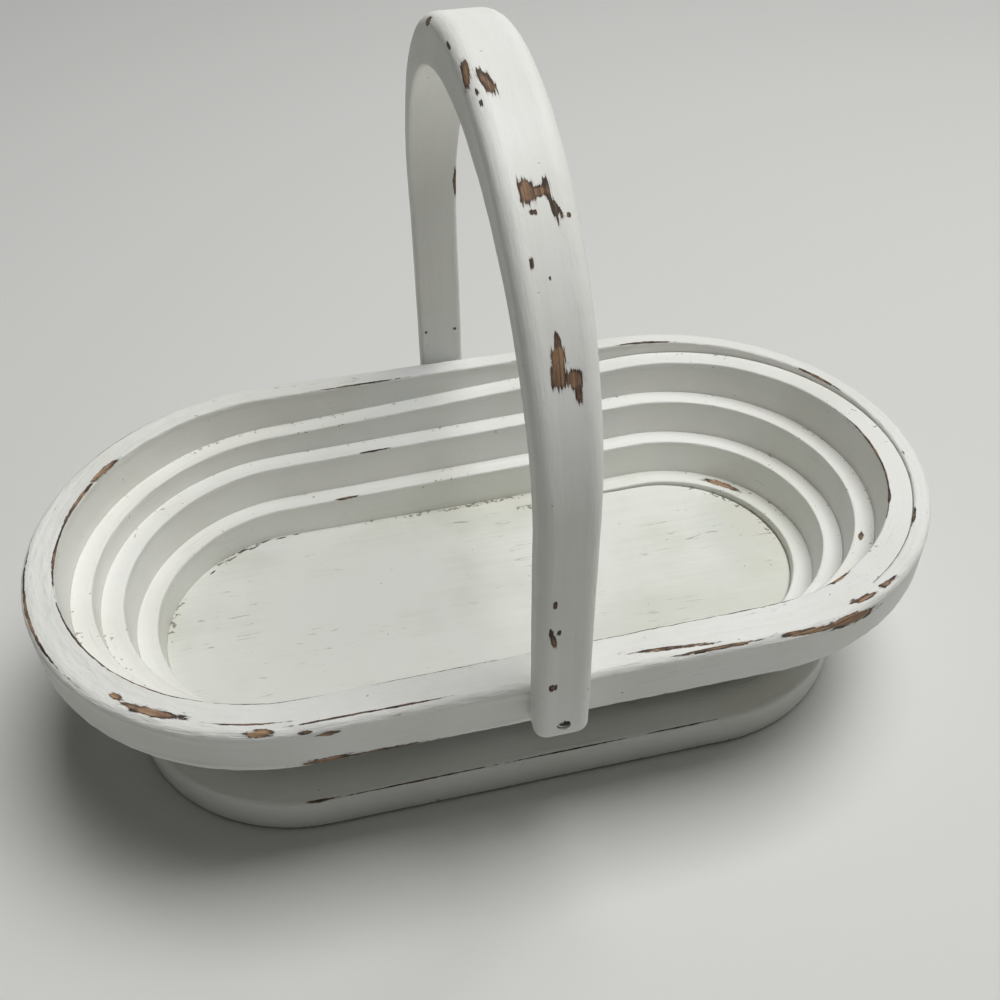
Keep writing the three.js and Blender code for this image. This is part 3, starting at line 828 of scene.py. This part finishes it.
# Stage, light and camera. The far floor and the sky look pale to the eye but light nothing
studio = {
    "floor": (224, 224, 221), "floorSize": 14.0, "floorRough": 0.9, "floorSpecular": 0.2,
    "key": 52.0, "keySize": 1.4, "keyFrom": (0.65, 0.05, 2.4), "aim": (0, 0, 0.08),
    "sky": 0.05, "backdrop": 0.55, "fadeFrom": 0.9, "fadeTo": 2.4,
}


def grey(level):
    return (level, level, level, 1.0)


def seenBackground(wire):  # rays from the eye, also by way of a shiny or clear surface
    camera, glossy, clear = (wire.node("ShaderNodeLightPath", out=f"Is {kind} Ray")
                             for kind in ("Camera", "Glossy", "Transmission"))
    return camera.atLeast(glossy).atLeast(clear)


half = studio["floorSize"] / 2
floorMesh = bpy.data.meshes.new("studioFloor")
floorMesh.from_pydata([(-half, -half, 0), (half, -half, 0), (half, half, 0), (-half, half, 0)], [],
                      [(0, 1, 2, 3)])
studioFloor = newObject("studioFloor", floorMesh)
paleFloor, wire = newMaterial("paleFloor")
near = wire.node("ShaderNodeBsdfPrincipled", sockets={
    "Base Color": srgb(*studio["floor"]), "Roughness": studio["floorRough"],
    "Specular IOR Level": studio["floorSpecular"]})
far = wire.node("ShaderNodeEmission", sockets={"Color": grey(studio["backdrop"])})
away = wire.node("ShaderNodeVectorMath", {"operation": "LENGTH"}, {
    0: wire.node("ShaderNodeTexCoord", out="Object")}, "Value")
faded = away.smooth(studio["fadeFrom"], studio["fadeTo"]) * seenBackground(wire)
surface = wire.node("ShaderNodeMixShader", sockets={"Fac": faded, 1: near, 2: far})
wire.node("ShaderNodeOutputMaterial", sockets={"Surface": surface})
floorMesh.materials.append(paleFloor)

keyLamp = bpy.data.lights.new("key", "AREA")
keyLamp.energy = studio["key"]
keyLamp.size = studio["keySize"]
key = newObject("key", keyLamp)
key.location = studio["keyFrom"]
key.rotation_euler = (Vector(studio["keyFrom"]) - Vector(studio["aim"])).to_track_quat("Z", "Y").to_euler()

world = bpy.data.worlds.new("studio")
bpy.context.scene.world = world
world.use_nodes = True
world.node_tree.nodes.clear()
wire = Wire(world.node_tree)
skyColour = mixColour(wire, seenBackground(wire), grey(studio["sky"]), grey(studio["backdrop"]))
sky = wire.node("ShaderNodeBackground", sockets={"Color": skyColour})
wire.node("ShaderNodeOutputWorld", sockets={"Surface": sky})

photoView = {
    "place": (-0.0789, -0.3629, 0.4280), "heading": -12.93, "tilt": 41.47, "roll": -0.73,
    "lens": 40.0, "sensor": 36, "clipFrom": 0.01,
}
lens = bpy.data.cameras.new("photoView")
lens.sensor_width = photoView["sensor"]
lens.lens = photoView["lens"]
lens.clip_start = photoView["clipFrom"]
camera = newObject("photoView", lens)
camera.matrix_world = (Matrix.Translation(photoView["place"])
                       @ Matrix.Rotation(math.radians(photoView["heading"]), 4, "Z")
                       @ Matrix.Rotation(math.radians(90 - photoView["tilt"]), 4, "X")
                       @ Matrix.Rotation(math.radians(photoView["roll"]), 4, "Z"))
bpy.context.scene.camera = camera
bpy.context.scene.view_settings.view_transform = "Standard"
print("studio: floor, key light, sky and camera")

bpy.context.view_layer.update()
